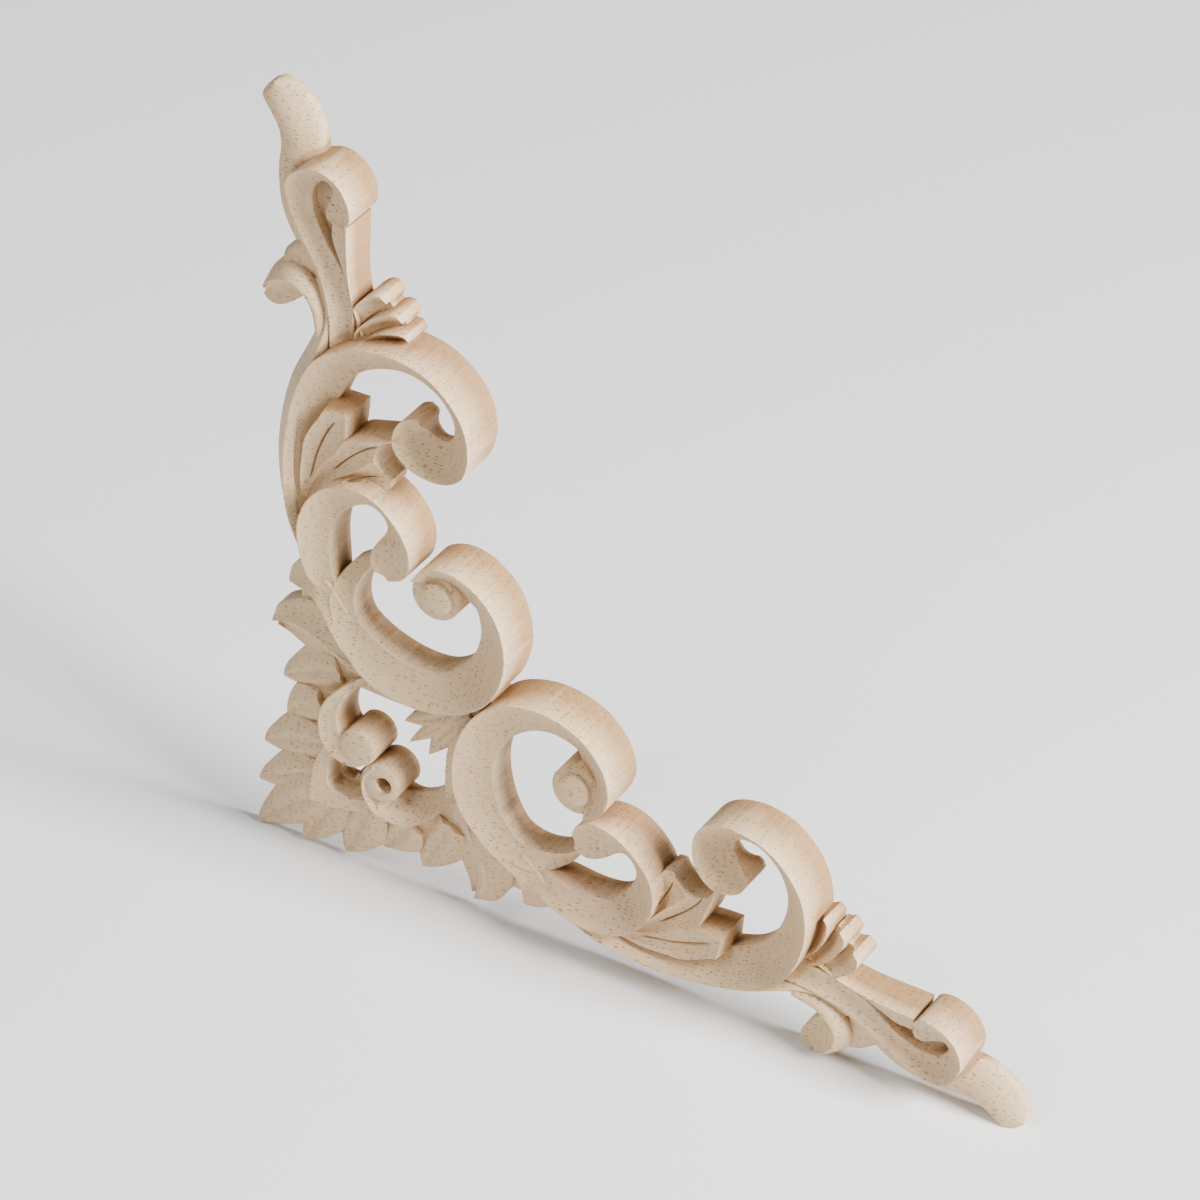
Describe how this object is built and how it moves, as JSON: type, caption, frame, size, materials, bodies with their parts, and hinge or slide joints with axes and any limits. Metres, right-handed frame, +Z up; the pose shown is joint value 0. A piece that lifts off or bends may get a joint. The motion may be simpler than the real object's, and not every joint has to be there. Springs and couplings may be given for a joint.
{
  "type": "corner onlay",
  "caption": "Carved wooden corner onlay: mirrored arms of scrolls and leaves meeting in an acanthus corner, with a flat back for fixing to furniture, doors or frames.",
  "frame": {"origin": "on the flat back, 12 mm in from each of the two straight outer sides that the leaf tips touch", "axes": "+Z up along the upright arm, +X along the level arm, +Y out of the flat back; the carving looks towards -Y"},
  "size_m": [0.2032, 0.0135, 0.2032],
  "materials": {
    "carved_wood": "bare pale wood, sanded, with fine brown pores"
  },
  "bodies": {
    "root": {"corner_onlay": "carved_wood"}
  },
  "joints": []
}
